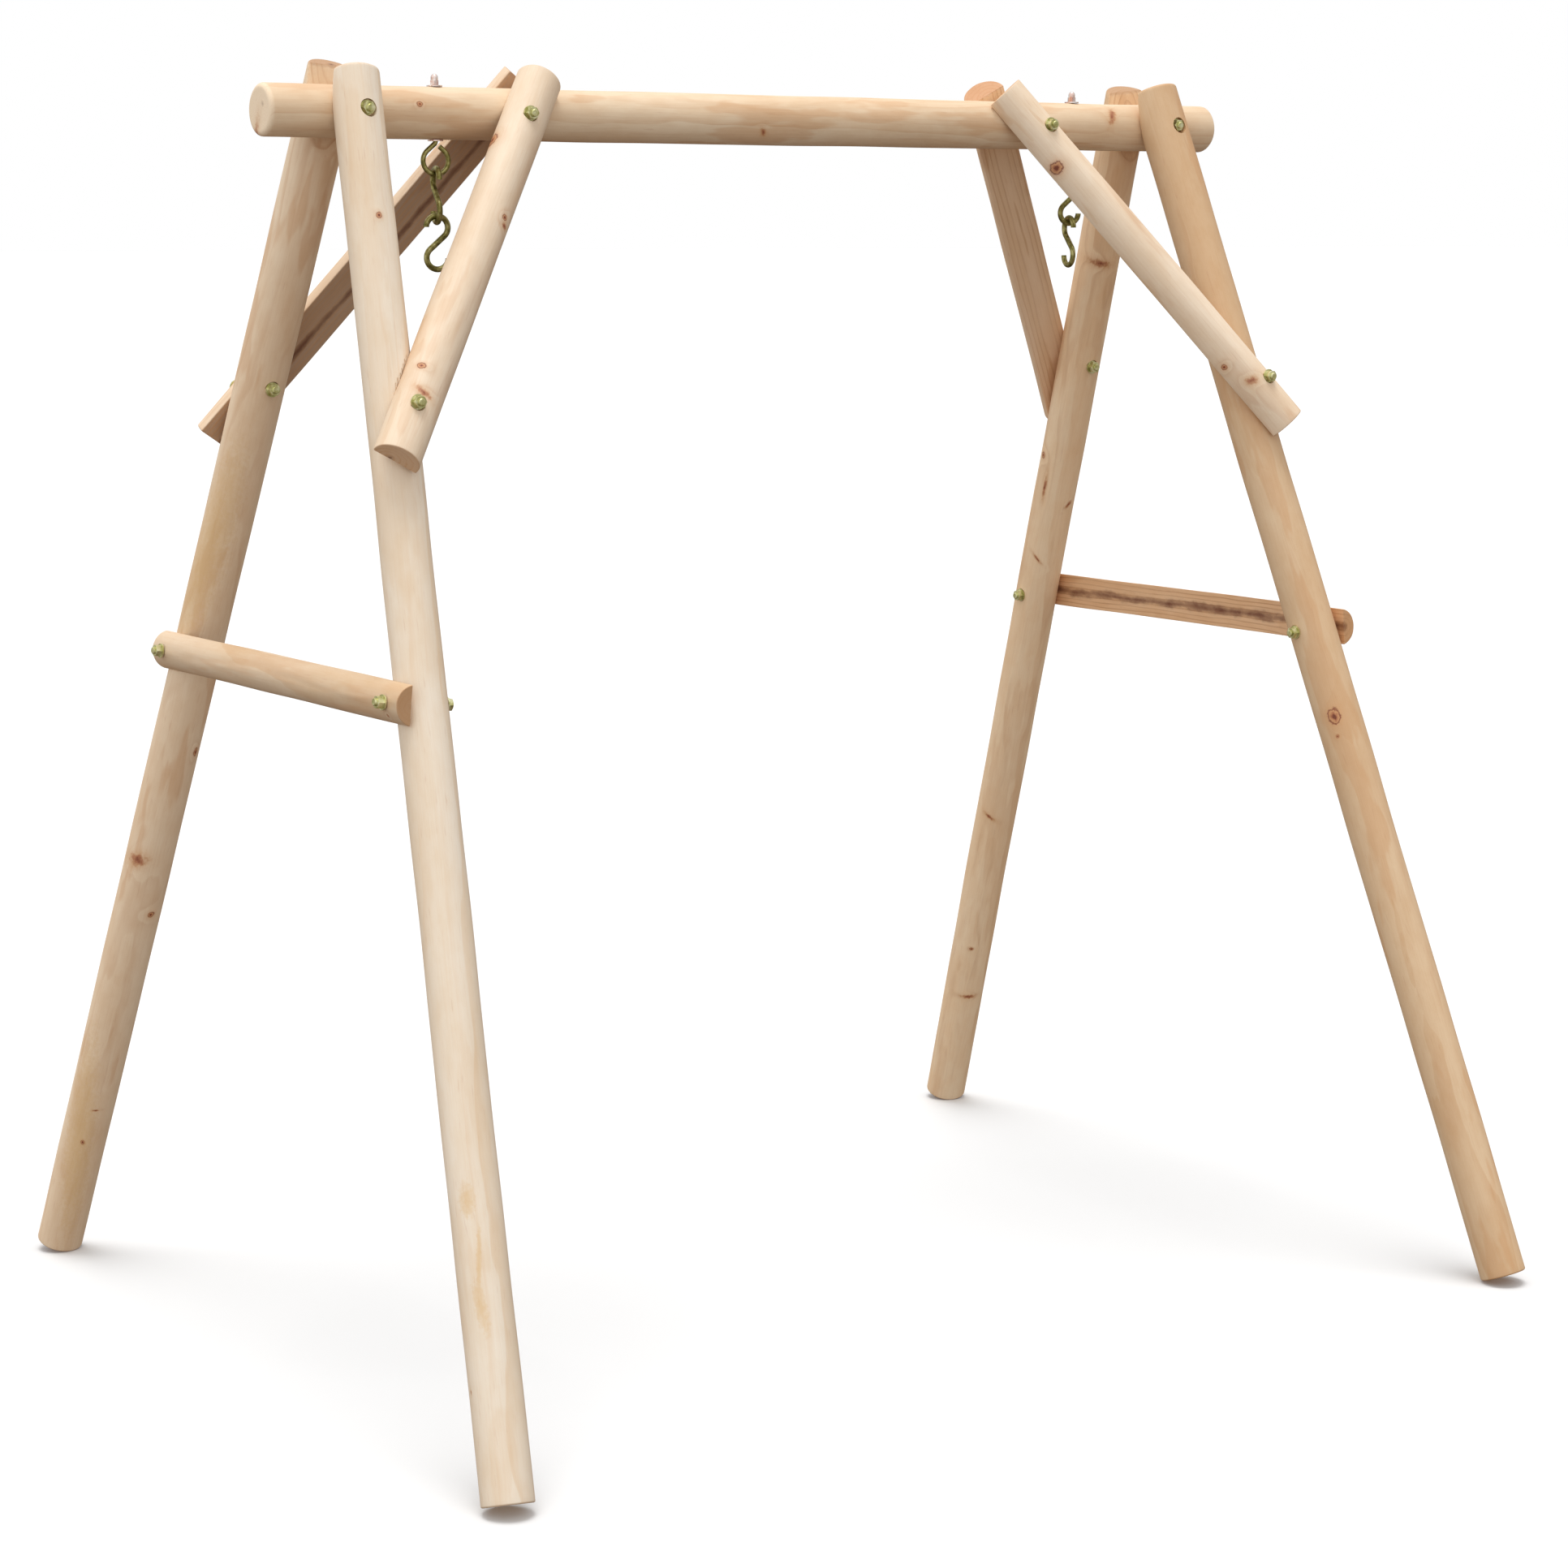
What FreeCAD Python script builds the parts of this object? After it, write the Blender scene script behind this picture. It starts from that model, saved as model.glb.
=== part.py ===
import FreeCAD, Part
import math
import os
from FreeCAD import Vector as V

os.makedirs("parts", exist_ok=True)

# ---- driving dimensions, mm; X right, Y back, Z up, floor at Z 0 ----
BEAM_R = 42.5            # peeled log, 85 mm thick
BEAM_LEN = 1925.0
BEAM_Z = 2025.0          # beam axis above the floor
BEAM_ROUND = 8.0         # rounded rim of the beam ends

LEG_X, LEG_Y = 821.0, 58.5          # leg axis at the height of the beam axis
FOOT_X, FOOT_Y, FOOT_Z = 1032.0, 825.0, 14.7   # centre of the square-cut foot
# name: side in X, side in Y, radius at the foot, radius at the top, length above the beam axis
LEGS = {
    "leg_front_left": (-1, -1, 41.7, 40.6, 63.0),
    "leg_rear_left": (-1, 1, 42.6, 43.0, 73.0),
    "leg_front_right": (1, -1, 42.0, 43.6, 68.0),
    "leg_rear_right": (1, 1, 42.5, 41.4, 68.0),
}
LEG_FLAT_Y = 41.0        # planed face that bears on the beam
LEG_FLAT_DROP = 72.0     # shoulder of that face below the beam axis
LEG_TOP_ROUND, LEG_FOOT_ROUND = 5.0, 3.0
LEG_BOLT_X, LEG_BOLT_DZ = 823.0, 3.0
LEG_RECESS_R, LEG_RECESS_Y = 14.0, 88.0   # counterbore and its floor
LEG_SEAT_HALF = 46.5     # half width of the seat planed into the beam for a leg

BRACES = {
    "brace_front_left": (-1, -1), "brace_front_right": (1, -1),
    "brace_rear_left": (-1, 1), "brace_rear_right": (1, 1),
}
BRACE_R = 39.0           # radius of the half log
BRACE_C = 5.0            # log centre in front of the flat
BRACE_TILT = 26.6        # lean of the flat face from upright, degrees
BRACE_X0, BRACE_X1 = 499.4, 861.4        # centre line at the beam and at the leg
BRACE_RUN = 650.8        # length between those two stations
BRACE_UP, BRACE_DOWN = 43.0, 731.0       # ends measured from the first station
BRACE_SEAT = 41.5        # flat to beam axis, 1 mm let in
BRACE_TOP_BOLT_X = 531.0
BRACE_LOW_BOLT_X, BRACE_LOW_BOLT_Z = 864.5, 1589.0

SPREADERS = {"spreader_left": -1, "spreader_right": 1}
SPR_R, SPR_T = 34.0, 27.0          # spreader: log radius, thickness over the flat
SPR_Z = 1142.0
SPR_HALF = 435.0
SPR_SEAT = 40.0          # flat to leg axis

BOLT_R = 6.0             # M12
HOLE_R = 6.6
NUT_AF, NUT_H = 18.0, 10.0
HEAD_H = 7.5
WASH_R, WASH_T = 12.0, 2.5
WASH_PLAY = 0.4          # bore of a washer over the bolt radius
BOLT_PROUD = 4.0         # thread end past the nut
BOLT_CHAMFER = 1.2
SPOT_R = WASH_R + 1.0    # spot face under a washer
SPOT_OUT, SPOT_IN = 4.0, 3.0       # its depth in a brace and in the inner side of a leg
SPR_BOLT_IN = 40.0       # washer seat behind the leg axis

EYE_X = 653.0
ROD_R = 4.0              # 8 mm rod of the eye bolts
EYE_RHO = 21.0           # centre-line radius of the eye
EYE_APEX, EYE_C = 3.5, 31.2      # apex and ring centre below the beam
EYE_BEND = 6.0           # bend radius from shank to eye
EYE_GAP = 8.2            # free end of the eye, measured from the apex
EYE_THREAD = 8.0         # thread inside the acorn nut
EYE_HOLE_R = ROD_R + 0.5
EWASH_R, EWASH_T = 12.5, 2.0
EWASH_PLAY = 0.2
SPOT = 1.4               # flat spot under the eye bolt washers
ESPOT_R = EWASH_R + 0.8
ACORN_AF, ACORN_H = 13.0, 8.0
ACORN_R, ACORN_Z = 5.8, 12.0     # dome radius and the height of its centre
ACORN_BORE = 9.2
HOOK_ROD_R = 4.75        # 9.5 mm rod of the hooks
HOOK_RHO, HOOK_H = 18.0, 23.9    # hook loop radius and half distance of loop centres
HOOK_TIP = 178.0         # angle where each hook ends, degrees
HANG_TWIST = math.radians(-12.6)     # turn of the eyes and hooks about the vertical
GAP = 0.3                # air between hook and the rod it hangs on

CUT = 60.0               # reach of cutting tools past the surface

X, Y, Z = V(1, 0, 0), V(0, 1, 0), V(0, 0, 1)
SIDES = (-1, 1)


# ---- shape helpers ----
def save(name, shape):
    if isinstance(shape, list):
        shape = Part.makeCompound(shape)
    shape.exportStep("parts/%s.step" % name)


def cyl(p, d, r, h):
    return Part.makeCylinder(r, h, p, d)


def block(frame, x0, x1, y0, y1, z0, z1):
    """Box given in a frame: origin and three axes."""
    o, ax, ay, az = frame
    m = FreeCAD.Matrix(ax.x, ay.x, az.x, o.x, ax.y, ay.y, az.y, o.y,
                       ax.z, ay.z, az.z, o.z, 0, 0, 0, 1)
    b = Part.makeBox(x1 - x0, y1 - y0, z1 - z0, V(x0, y0, z0))
    b.Placement = FreeCAD.Placement(m).multiply(b.Placement)
    return b


def span_box(x0, x1, y0, y1, z0, z1):
    """Box between two corners given in any order."""
    (x0, x1), (y0, y1), (z0, z1) = sorted((x0, x1)), sorted((y0, y1)), sorted((z0, z1))
    return Part.makeBox(x1 - x0, y1 - y0, z1 - z0, V(x0, y0, z0))


def round_rim(solid, r, fillet):
    """Fillet on the full circles of radius r."""
    rims = [e for e in solid.Edges if isinstance(e.Curve, Part.Circle)
            and abs(e.Curve.Radius - r) < 1e-6 and len(e.Vertexes) == 1]
    return solid.makeFillet(fillet, rims)


def cut_all(solid, tools):
    for tool in tools:
        if tool.BoundBox.intersect(solid.BoundBox):
            solid = solid.cut(tool)
    return solid


# ---- positions of the members ----
def leg_axis(sx, sy):
    a, f = V(sx * LEG_X, sy * LEG_Y, BEAM_Z), V(sx * FOOT_X, sy * FOOT_Y, FOOT_Z)
    return a, f, (a - f).normalize()


def leg_at(sx, sy, z):
    a, f, _ = leg_axis(sx, sy)
    return a + (f - a) * ((BEAM_Z - z) / (BEAM_Z - FOOT_Z))


def brace_frame(sx, sy):
    """Origin on the flat above the beam seat; axes: along, across, outward."""
    t = math.radians(BRACE_TILT)
    n = V(0, sy * math.cos(t), math.sin(t))
    m = V(0, sy * math.sin(t), -math.cos(t))
    o = V(sx * BRACE_X0, 0, BEAM_Z) + n * BRACE_SEAT
    dx = BRACE_X1 - BRACE_X0
    d = (X * (sx * dx) + m * math.sqrt(BRACE_RUN ** 2 - dx ** 2)).normalize()
    return o, d, n.cross(d), n


def brace_crest_y(z):
    """Distance from the XZ plane of the outer crest of a brace at height z."""
    t = math.radians(BRACE_TILT)
    return (BRACE_SEAT + BRACE_C + BRACE_R - (z - BEAM_Z) * math.sin(t)) / math.cos(t)


def spreader_frame(sx):
    """Origin on the flat at mid length; axes: along Y, up the flat, outward."""
    lean = math.atan2(FOOT_X - LEG_X, BEAM_Z - FOOT_Z)
    n = V(sx * math.cos(lean), 0, math.sin(lean))
    p = leg_at(sx, 1, SPR_Z)
    return V(p.x, 0, p.z) + n * SPR_SEAT, Y, n.cross(Y), n


# ---- where the bolts run: lists of (nut seat, head seat) ----
def leg_seats():
    z = BEAM_Z + LEG_BOLT_DZ
    return [(V(sx * LEG_BOLT_X, -LEG_RECESS_Y, z), V(sx * LEG_BOLT_X, LEG_RECESS_Y, z))
            for sx in SIDES]


def brace_top_seats():
    y = brace_crest_y(BEAM_Z) - SPOT_OUT
    return [(V(sx * BRACE_TOP_BOLT_X, -y, BEAM_Z), V(sx * BRACE_TOP_BOLT_X, y, BEAM_Z))
            for sx in SIDES]


def brace_low_seats():
    """Through a brace and the leg behind it; the nut is always on the front side."""
    seats, z = [], BRACE_LOW_BOLT_Z
    for sx in SIDES:
        for sy in SIDES:
            _, _, d = leg_axis(sx, sy)
            inner = LEGS["leg_rear_left"][2] / math.sqrt(1 - d.y * d.y) - SPOT_IN
            outside = V(sx * BRACE_LOW_BOLT_X, sy * (brace_crest_y(z) - SPOT_OUT), z)
            inside = V(sx * BRACE_LOW_BOLT_X, leg_at(sx, sy, z).y - sy * inner, z)
            seats.append((outside, inside) if sy < 0 else (inside, outside))
    return seats


def spreader_seats():
    """Through a spreader and the leg; the nut is always on the left side."""
    seats = []
    for sx in SIDES:
        for sy in SIDES:
            o, _, _, n = spreader_frame(sx)
            c = V(o.x, leg_at(sx, sy, SPR_Z).y, o.z)
            outside, inside = c + n * SPR_T, c - n * (SPR_SEAT + SPR_BOLT_IN)
            seats.append((outside, inside) if sx < 0 else (inside, outside))
    return seats


SEATS = {"leg": leg_seats(), "brace_top": brace_top_seats(),
         "brace_low": brace_low_seats(), "spreader": spreader_seats()}


def bolt_holes():
    """Drills, spot faces and counterbores for every bolt."""
    tools = []
    for group in SEATS.values():
        for p, q in group:
            d = (p - q).normalize()
            tools.append(cyl(q - d * CUT, d, HOLE_R, (p - q).Length + 2 * CUT))
            tools.append(cyl(p, d, SPOT_R, CUT))
            tools.append(cyl(q, d * -1, SPOT_R, CUT))
    for p, q in SEATS["leg"]:
        tools.append(cyl(p, Y * -1, LEG_RECESS_R, CUT))
        tools.append(cyl(q, Y, LEG_RECESS_R, CUT))
    return tools


HOLES = bolt_holes()


# ---- wooden members ----
def half_log(frame, s0, s1, r, c):
    """Log of radius r whose centre lies c outside the flat, cut at the flat."""
    o, d, _, n = frame
    log = cyl(o + n * c + d * s0, d, r, s1 - s0)
    return log.cut(block(frame, s0 - CUT, s1 + CUT, -2 * r, 2 * r, -2 * r, 0))


def brace_bed(sx, sy):
    """Space outside the flat of a brace, which the beam and the leg are planed to."""
    return block(brace_frame(sx, sy), -BRACE_UP, BRACE_DOWN, -BRACE_R, BRACE_R, 0, CUT)


def spreader_bed(sx):
    w = math.sqrt(SPR_R ** 2 - (SPR_R - SPR_T) ** 2)
    return block(spreader_frame(sx), -SPR_HALF, SPR_HALF, -w, w, 0, SPR_SEAT)


def leg_solid(sx, sy, r0, r1, up):
    a, f, d = leg_axis(sx, sy)
    rr, tilt = LEG_FOOT_ROUND, math.acos(d.z)
    # the lowest point of the rounded rim meets the floor
    z0 = (r0 - rr) * math.sin(tilt) + rr * (1 - math.cos(tilt))
    f = f + d * ((z0 - f.z) / d.z)
    s = Part.makeCone(r0, r1, (a - f).Length + up, f, d)
    s = round_rim(round_rim(s, r0, LEG_FOOT_ROUND), r1, LEG_TOP_ROUND)
    x, low = sx * LEG_X, BEAM_Z - LEG_FLAT_DROP
    return s.cut(span_box(x - 2 * CUT, x + 2 * CUT, sy * LEG_FLAT_Y, -sy * 2 * CUT,
                          low, BEAM_Z + 3 * CUT))


def beam_solid():
    beam = cyl(V(-BEAM_LEN / 2, 0, BEAM_Z), X, BEAM_R, BEAM_LEN)
    beam = round_rim(beam, BEAM_R, BEAM_ROUND)
    tools = []
    for sx in SIDES:
        x = sx * LEG_BOLT_X
        for sy in SIDES:
            tools.append(span_box(x - LEG_SEAT_HALF, x + LEG_SEAT_HALF,
                                  sy * LEG_FLAT_Y, sy * CUT, BEAM_Z - CUT, BEAM_Z + CUT))
            tools.append(brace_bed(sx, sy))
        eye = V(sx * EYE_X, 0, BEAM_Z)
        tools.append(cyl(eye - Z * CUT, Z, EYE_HOLE_R, 2 * CUT))
        tools.append(cyl(eye + Z * (BEAM_R - SPOT), Z, ESPOT_R, CUT))
        tools.append(cyl(eye - Z * (BEAM_R - SPOT), Z * -1, ESPOT_R, CUT))
    return beam.cut(tools)


def make_wood():
    save("beam", cut_all(beam_solid(), HOLES))
    for name, (sx, sy, r0, r1, up) in LEGS.items():
        beds = [brace_bed(sx, sy), spreader_bed(sx)]
        save(name, cut_all(leg_solid(sx, sy, r0, r1, up), beds + HOLES))
    for name, (sx, sy) in BRACES.items():
        s = half_log(brace_frame(sx, sy), -BRACE_UP, BRACE_DOWN, BRACE_R, BRACE_C)
        save(name, cut_all(s, HOLES))
    for name, sx in SPREADERS.items():
        s = half_log(spreader_frame(sx), -SPR_HALF, SPR_HALF, SPR_R, SPR_T - SPR_R)
        save(name, cut_all(s, HOLES))


# ---- fasteners ----
def hexagon(p, d, af, h, bore):
    """Hexagon prism with its outer corners turned down by a 30 degree cone."""
    u = V(d.y, -d.x, 0) if abs(d.z) < 0.9 else V(1, 0, 0)
    u = u.normalize()
    w = d.cross(u)
    r = af / math.sqrt(3)
    pts = [p + u * (r * math.cos(k * math.pi / 3)) + w * (r * math.sin(k * math.pi / 3))
           for k in range(7)]
    s = Part.Face(Part.makePolygon(pts)).extrude(d * h)
    flat_r, slope = af / 2, math.tan(math.radians(60))
    cone = Part.makeCone(flat_r + h * slope, flat_r, h, p, d)
    s = s.common(cone)
    return s.cut(cyl(p - d, d, bore, h + 2)) if bore else s


def washer(p, d, r, t, bore):
    return cyl(p, d, r, t).cut(cyl(p - d, d, bore, t + 2))


def hex_bolt(p, q):
    """Shank from the head seat q past the nut seat p, with a chamfered end."""
    d = (p - q).normalize()
    length = (p - q).Length + 2 * WASH_T + NUT_H + BOLT_PROUD
    b = cyl(q - d * WASH_T, d, BOLT_R, length)
    end = max(b.Edges, key=lambda e: e.CenterOfMass.dot(d))
    b = b.makeChamfer(BOLT_CHAMFER, [end])
    return b.fuse(hexagon(q - d * WASH_T, d * -1, NUT_AF, HEAD_H, 0)).removeSplitter()


def make_bolts():
    for key, seats in SEATS.items():
        bolts, nuts, washers = [], [], []
        for p, q in seats:
            d = (p - q).normalize()
            bolts.append(hex_bolt(p, q))
            nuts.append(hexagon(p + d * WASH_T, d, NUT_AF, NUT_H, BOLT_R))
            washers.append(washer(p, d, WASH_R, WASH_T, BOLT_R + WASH_PLAY))
            washers.append(washer(q, d * -1, WASH_R, WASH_T, BOLT_R + WASH_PLAY))
        save(key + "_bolts", bolts)
        save(key + "_nuts", nuts)
        save(key + "_washers", washers)


# ---- eye bolts and hooks ----
def sweep(edges, start, tangent, r):
    rod = Part.Wire([Part.Circle(start, tangent, r).toShape()])
    return Part.Wire(edges).makePipeShell([rod], True, False)


def eye_bolt(x, u):
    """Threaded rod through the beam bent to an open drop-shaped eye in the plane u, Z."""
    o = V(x, 0, BEAM_Z - BEAM_R)

    def pt(a, b):
        return o + u * a + Z * b

    drop = EYE_C - EYE_APEX
    k = math.asin(EYE_RHO / drop)          # half angle of the drop at its apex
    s, c = math.sin(k), math.cos(k)
    tl = EYE_BEND * math.tan(k / 2)        # tangent length of the bend
    reach = drop * c                       # apex to where the side meets the ring
    top = 2 * BEAM_R - SPOT + EWASH_T + EYE_THREAD
    shank, bend_in = pt(0, top), pt(0, -EYE_APEX + tl)
    bend_mid = pt(-EYE_BEND * (1 - math.cos(k / 2)),
                  -EYE_APEX + tl - EYE_BEND * math.sin(k / 2))
    bend_out = pt(-tl * s, -EYE_APEX - tl * c)
    ring_in, ring_out = pt(-reach * s, -EYE_APEX - reach * c), pt(reach * s, -EYE_APEX - reach * c)
    bottom = pt(0, -EYE_C - EYE_RHO)
    tip = pt(EYE_GAP * s, -EYE_APEX - EYE_GAP * c)
    edges = [Part.makeLine(shank, bend_in), Part.Arc(bend_in, bend_mid, bend_out).toShape(),
             Part.makeLine(bend_out, ring_in), Part.Arc(ring_in, bottom, ring_out).toShape(),
             Part.makeLine(ring_out, tip)]
    return sweep(edges, shank, Z * -1, ROD_R)


def hang_drop(rod_r):
    """How far a hook's upper loop centre lies below the centre of the rod it hangs on."""
    return HOOK_RHO - HOOK_ROD_R - rod_r - GAP


def hook(cx, top_z, u, rod_r):
    """S hook in the plane u, Z; top_z and rod_r = centre and radius of the rod it hangs on."""
    o = V(cx, 0, top_z - hang_drop(rod_r) - HOOK_H)

    def loop(deg, side):
        """Point on the upper loop (side 1) or the lower one (side -1)."""
        a = math.radians(deg)
        return o + (u * (HOOK_RHO * math.cos(a)) + Z * (HOOK_H + HOOK_RHO * math.sin(a))) * side

    k = math.degrees(math.asin(HOOK_RHO / HOOK_H))
    edges = [Part.Arc(loop(HOOK_TIP, 1), loop(90, 1), loop(-k, 1)).toShape(),
             Part.makeLine(loop(-k, 1), loop(-k, -1)),
             Part.Arc(loop(-k, -1), loop(90, -1), loop(HOOK_TIP, -1)).toShape()]
    a = math.radians(HOOK_TIP)
    return sweep(edges, loop(HOOK_TIP, 1), u * math.sin(a) - Z * math.cos(a), HOOK_ROD_R)


def acorn_nut(p):
    body = hexagon(p, Z, ACORN_AF, ACORN_H, 0)
    dome = cyl(p + Z, Z, ACORN_R, ACORN_Z - 1).fuse(Part.makeSphere(ACORN_R, p + Z * ACORN_Z))
    return body.fuse(dome).removeSplitter().cut(cyl(p - Z, Z, ROD_R, ACORN_BORE + 1))


def make_hangers():
    z_low, z_top = BEAM_Z - BEAM_R + SPOT, BEAM_Z + BEAM_R - SPOT
    eye_z = BEAM_Z - BEAM_R - EYE_C - EYE_RHO          # rod that the upper hook hangs on
    hook_z = eye_z - hang_drop(ROD_R) - 2 * HOOK_H - HOOK_RHO
    across = V(math.cos(HANG_TWIST), math.sin(HANG_TWIST), 0)
    back = Z.cross(across)
    low, top, acorns = [], [], []
    for side, x, u, v in (("left", -EYE_X, across, back), ("right", EYE_X, back, across)):
        save("eye_bolt_" + side, eye_bolt(x, u))
        save("hook_upper_" + side, hook(x, eye_z, v, ROD_R))
        save("hook_lower_" + side, hook(x, hook_z, u, HOOK_ROD_R))
        low.append(washer(V(x, 0, z_low - EWASH_T), Z, EWASH_R, EWASH_T, ROD_R + EWASH_PLAY))
        top.append(washer(V(x, 0, z_top), Z, EWASH_R, EWASH_T, ROD_R + EWASH_PLAY))
        acorns.append(acorn_nut(V(x, 0, z_top + EWASH_T)))
    save("eye_washers_low", low)
    save("eye_washers_top", top)
    save("acorn_nuts", acorns)


make_wood()
make_bolts()
make_hangers()
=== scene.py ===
import math

import bpy
import numpy as np
from mathutils import Matrix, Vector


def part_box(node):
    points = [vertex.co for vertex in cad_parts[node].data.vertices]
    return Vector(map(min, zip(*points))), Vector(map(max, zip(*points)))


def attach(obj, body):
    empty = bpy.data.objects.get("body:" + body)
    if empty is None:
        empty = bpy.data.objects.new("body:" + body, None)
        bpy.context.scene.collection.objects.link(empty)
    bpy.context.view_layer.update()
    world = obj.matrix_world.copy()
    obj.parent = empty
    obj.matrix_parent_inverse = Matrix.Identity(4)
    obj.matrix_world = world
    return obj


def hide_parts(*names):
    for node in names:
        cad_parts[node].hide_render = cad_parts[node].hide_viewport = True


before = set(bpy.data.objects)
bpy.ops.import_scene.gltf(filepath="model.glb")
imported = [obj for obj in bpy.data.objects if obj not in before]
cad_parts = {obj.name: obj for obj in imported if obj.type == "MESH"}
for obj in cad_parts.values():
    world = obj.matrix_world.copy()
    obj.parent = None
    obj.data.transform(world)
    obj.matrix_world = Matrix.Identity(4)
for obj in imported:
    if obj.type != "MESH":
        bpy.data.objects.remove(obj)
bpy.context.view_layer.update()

# ---- driving dimensions, metres; X right, Y back, Z up, floor at Z 0 ----
BEAM_R, BEAM_ROUND = 0.0425, 0.008
BEAM_Z = 2.025
BEAM_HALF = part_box("beam")[1].x
LEG_X, LEG_Y = 0.821, 0.0585              # leg axis at the height of the beam axis
FOOT_X, FOOT_Y, FOOT_Z = 1.032, 0.825, 0.0147
LEG_FLAT_Y, LEG_FLAT_DROP = 0.041, 0.072  # planed face beside the beam and its shoulder
LEG_TOP_ROUND, LEG_FOOT_ROUND = 0.005, 0.003
LEG_LEAN = (0.022, 0.35)                  # inner line moves off the planed face over this length
LEG_SEAT_HALF = 0.0465
LEG_BOLT_X, LEG_BOLT_DZ = 0.823, 0.003
LEG_RECESS_R, LEG_RECESS_Y = 0.014, 0.088
BRACE_R, BRACE_C = 0.039, 0.005           # half log, and its centre outside the flat
BRACE_TILT = math.radians(26.6)
BRACE_X0, BRACE_X1, BRACE_RUN = 0.4994, 0.8614, 0.6508
BRACE_UP, BRACE_DOWN = 0.043, 0.731
BRACE_SEAT = 0.0415
BRACE_TOP_BOLT_X = 0.531
BRACE_LOW_BOLT_X, BRACE_LOW_BOLT_Z = 0.8645, 1.589
SPR_R, SPR_T = 0.034, 0.027
SPR_Z, SPR_HALF, SPR_SEAT = 1.142, 0.435, 0.040
SPR_BOLT_IN = 0.040
HOLE_R, SPOT_R, SPOT_OUT, SPOT_IN = 0.0066, 0.013, 0.004, 0.003
EYE_X, EYE_HOLE_R, EYE_SPOT_R, EYE_SPOT = 0.653, 0.0045, 0.0133, 0.0014
SAWN_EDGE = 0.0018                        # broken edge of the sawn ends
PLANED_EDGE = 0.0025                      # width over which a planed face meets the round
SAWN_FADE = 0.002                         # depth of cut at which a face counts as sawn
EDGE_CROWD = (8, 0.06)                    # extra columns at a sawn edge, and over what angle
KNOT_DOME, DOME_SPREAD = 0.0008, 3        # height a knot stands proud, metres; its spread, mm2
DRILL = 0.05                              # reach of a drill past the surface
DOME_POWER, OVERHEAD_POWER = 1.0, 1.5     # sky dome, and the soft lamp straight above
OVERHEAD_SPREAD, OVERHEAD_LEAN = math.radians(28), math.radians(-3)
TO_LIGHT = (-0.38, -0.20, 1.0)            # the brightest part of the dome
FLOOR_HALF = 300.0
FLOOR_WHITE = 0.80                        # just enough to reach white where nothing shades it

LEGS = {  # side in X, side in Y, radius at the foot, radius at the top, length above the beam axis
    "leg_front_left": (-1, -1, 0.0417, 0.0406, 0.063),
    "leg_rear_left": (-1, 1, 0.0426, 0.0430, 0.073),
    "leg_front_right": (1, -1, 0.0420, 0.0436, 0.068),
    "leg_rear_right": (1, 1, 0.0425, 0.0414, 0.068),
}
BRACES = {
    "brace_front_left": (-1, -1), "brace_front_right": (1, -1),
    "brace_rear_left": (-1, 1), "brace_rear_right": (1, 1),
}
SPREADERS = {"spreader_left": -1, "spreader_right": 1}

X, Y, Z = np.eye(3)
SIDES = (-1, 1)


def unit(v):
    return v / np.linalg.norm(v)


# ---- where the logs lie ----
class Log:
    """A round or half log with its own axes front, side and along, from origin at its low end.
    lean is how far its inner line stands in front of its axis, and over what length at the top
    it gets there (0: all along). planes are the faces it is planed to."""

    def __init__(self, name, origin, along, front, length, radii, rounds, lean=(0.0, 0.0)):
        self.name, self.origin, self.length = name, np.array(origin), length
        self.along = unit(np.array(along))
        self.front = unit(front - self.along * np.dot(front, self.along))
        self.side = np.cross(self.along, self.front)
        self.radii, self.rounds, self.lean = radii, rounds, lean
        self.planes, self.edges = [], []

    def plane(self, point, normal, acts=None):
        self.planes.append((np.array(point), np.array(normal), acts))


def leg_point(sx, sy, z):
    t = (BEAM_Z - z) / (BEAM_Z - FOOT_Z)
    return np.array((sx * (LEG_X + (FOOT_X - LEG_X) * t), sy * (LEG_Y + (FOOT_Y - LEG_Y) * t), z))


def brace_axes(sx, sy):
    """Origin on the flat beside the beam, along, across, outward."""
    out = np.array((0, sy * math.cos(BRACE_TILT), math.sin(BRACE_TILT)))
    down = np.array((0, sy * math.sin(BRACE_TILT), -math.cos(BRACE_TILT)))
    origin = np.array((sx * BRACE_X0, 0, BEAM_Z)) + out * BRACE_SEAT
    dx = BRACE_X1 - BRACE_X0
    along = unit(X * sx * dx + down * math.sqrt(BRACE_RUN ** 2 - dx ** 2))
    return origin, along, np.cross(out, along), out


def spreader_axes(sx):
    """Origin on the flat at mid length, along, up the flat, outward."""
    tilt = math.atan2(FOOT_X - LEG_X, BEAM_Z - FOOT_Z)
    out = np.array((sx * math.cos(tilt), 0, math.sin(tilt)))
    p = leg_point(sx, 1, SPR_Z)
    return np.array((p[0], 0, p[2])) + out * SPR_SEAT, Y, np.cross(out, Y), out


def under(axes, s0, s1, half):
    """Test for points that a member covers: within its ends and its width."""
    origin, along, across, _ = axes
    return lambda p: ((p - origin) @ along > s0) & ((p - origin) @ along < s1) & (
        np.abs((p - origin) @ across) < half)


def beam_log():
    log = Log("beam", (-BEAM_HALF, 0, BEAM_Z), X, -Y, 2 * BEAM_HALF, (BEAM_R, BEAM_R),
              (BEAM_ROUND, BEAM_ROUND))
    for sx in SIDES:
        for sy in SIDES:
            seat = (np.array((sx * LEG_BOLT_X, 0, BEAM_Z)), X, Z, Y)
            log.plane((0, sy * LEG_FLAT_Y, 0), sy * Y, under(seat, -LEG_SEAT_HALF, LEG_SEAT_HALF, 1))
            axes = brace_axes(sx, sy)
            log.plane(axes[0], axes[3], under(axes, -BRACE_UP, BRACE_DOWN, BRACE_R))
    return log


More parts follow.
